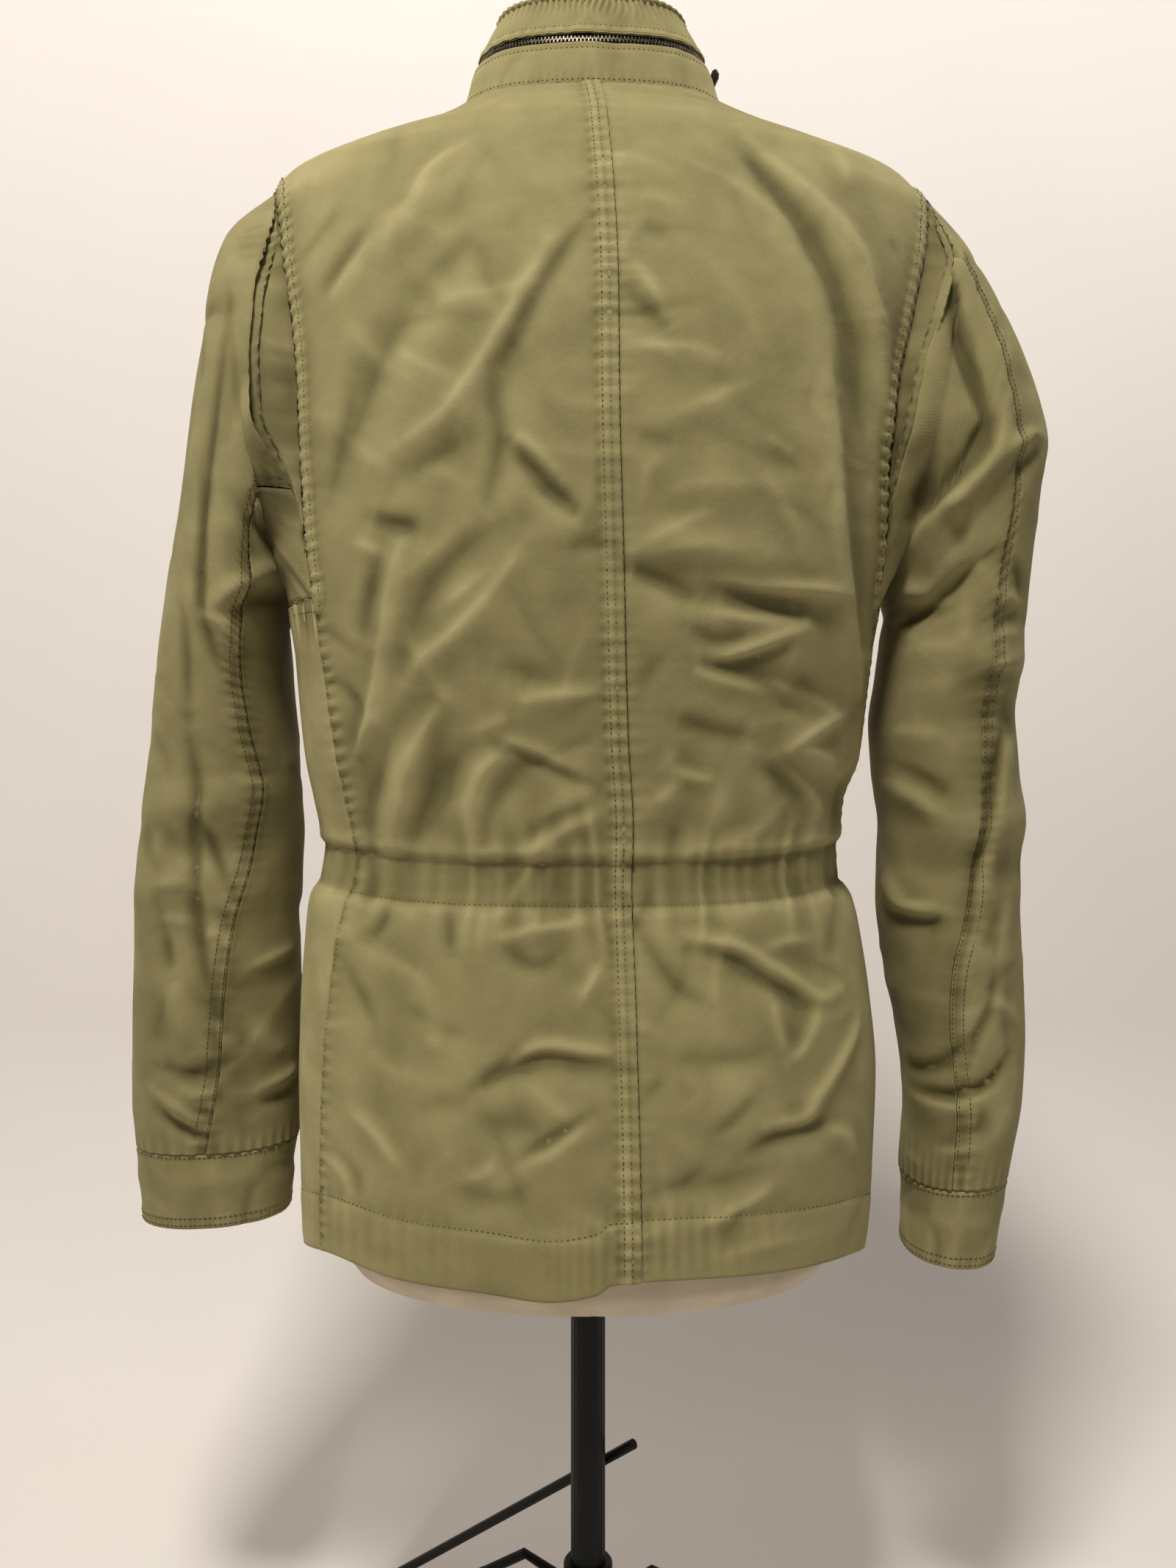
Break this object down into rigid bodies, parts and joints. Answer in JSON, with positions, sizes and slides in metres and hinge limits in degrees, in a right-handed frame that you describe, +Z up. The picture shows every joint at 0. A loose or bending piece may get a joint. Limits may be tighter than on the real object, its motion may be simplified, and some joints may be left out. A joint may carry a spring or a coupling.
{
  "type": "utility jacket on a dress form",
  "caption": "Hip-length cotton utility jacket with a zipped stand collar, drawcord waist and long cuffed sleeves, on a limbless dress form with a pole and bent feet.",
  "frame": {"origin": "on the floor, in the middle of the stand's feet and under the pole's axis", "axes": "+Z up; the jacket's back faces -Y and its front +Y; the wearer's right side is +X"},
  "size_m": [0.7754, 0.28, 1.166],
  "materials": {
    "olive_twill": "washed matt cotton twill",
    "zip_tape": "matt woven tape",
    "zip_metal": "worn bright metal",
    "form_jersey": "matt cream jersey",
    "stand_steel": "worn black paint",
    "foot_rubber": "matt"
  },
  "bodies": {
    "jacket_on_form": {"back_left": "olive_twill", "back_right": "olive_twill", "front_left": "olive_twill", "front_right": "olive_twill", "gusset_left": "olive_twill", "gusset_right": "olive_twill", "sleeve_left_outer": "olive_twill", "sleeve_left_under": "olive_twill", "sleeve_right_outer": "olive_twill", "sleeve_right_under": "olive_twill", "cuff_left": "olive_twill", "cuff_right": "olive_twill", "collar_stand": "olive_twill", "collar_top": "olive_twill", "collar_zip_tape": "zip_tape", "front_zip_tape": "zip_tape", "collar_zip_teeth": "zip_metal", "front_zip_teeth": "zip_metal", "front_zip_slider": "zip_metal", "collar_zip_slider": "zip_metal", "form_torso": "form_jersey", "stand_pole": "stand_steel", "stand_hub": "stand_steel", "stand_leg_back_left": "stand_steel", "stand_leg_back_right": "stand_steel", "stand_leg_front_left": "stand_steel", "stand_leg_front_right": "stand_steel", "stand_brace": "stand_steel", "stand_foot_back_left": "foot_rubber", "stand_foot_back_right": "foot_rubber", "stand_foot_front_left": "foot_rubber", "stand_foot_front_right": "foot_rubber"},
    "front_pull": {"front_zip_pull": "zip_metal"},
    "collar_pull": {"collar_zip_pull": "zip_metal"}
  },
  "joints": [
    {"name": "front_pull_swing", "type": "hinge", "parent": "jacket_on_form", "child": "front_pull", "pos_m": [0.00002, 0.08809, 1.09287], "axis": [1, -0.0052, -0.001], "range_deg": [0, 150]},
    {"name": "collar_pull_swing", "type": "hinge", "parent": "jacket_on_form", "child": "collar_pull", "pos_m": [0.08409, 0.03017, 1.13282], "axis": [-0.4465, 0.1355, 0.8845], "range_deg": [0, 150]}
  ]
}
